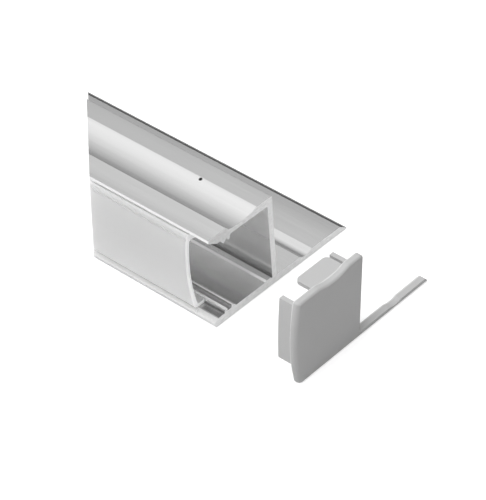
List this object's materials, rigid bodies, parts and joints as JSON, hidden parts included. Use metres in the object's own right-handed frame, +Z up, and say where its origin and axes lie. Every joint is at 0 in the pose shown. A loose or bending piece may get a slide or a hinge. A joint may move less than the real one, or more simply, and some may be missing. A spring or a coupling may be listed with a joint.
{
  "type": "led strip profile",
  "caption": "Short aluminium LED strip profile with a screw flange, a bowed clip-in opal diffuser and a moulded end cap taken off.",
  "frame": {"origin": "on the underside of the profile's base, half way across it and 25 mm in from the near end, which is cut square", "axes": "+X along the profile towards the near end, where the cap goes; +Y across it, from the diffuser to the flange; +Z up from the base"},
  "size_m": [0.0956, 0.0439, 0.0228],
  "materials": {
    "aluminium": "satin anodised",
    "opal_plastic": "opal satin",
    "grey_plastic": "moulded matt"
  },
  "bodies": {
    "profile": {"extrusion": "aluminium"},
    "cover": {"diffuser": "opal_plastic"},
    "cap": {"end_cap": "grey_plastic"}
  },
  "joints": [
    {"name": "cover_slide", "type": "slide", "parent": "profile", "child": "cover", "axis": [1, 0, 0], "range_m": [-0.03, 0.0007]},
    {"name": "cap_slide", "type": "slide", "parent": "profile", "child": "cap", "axis": [1, 0, 0], "range_m": [-0.0209, 0]}
  ]
}
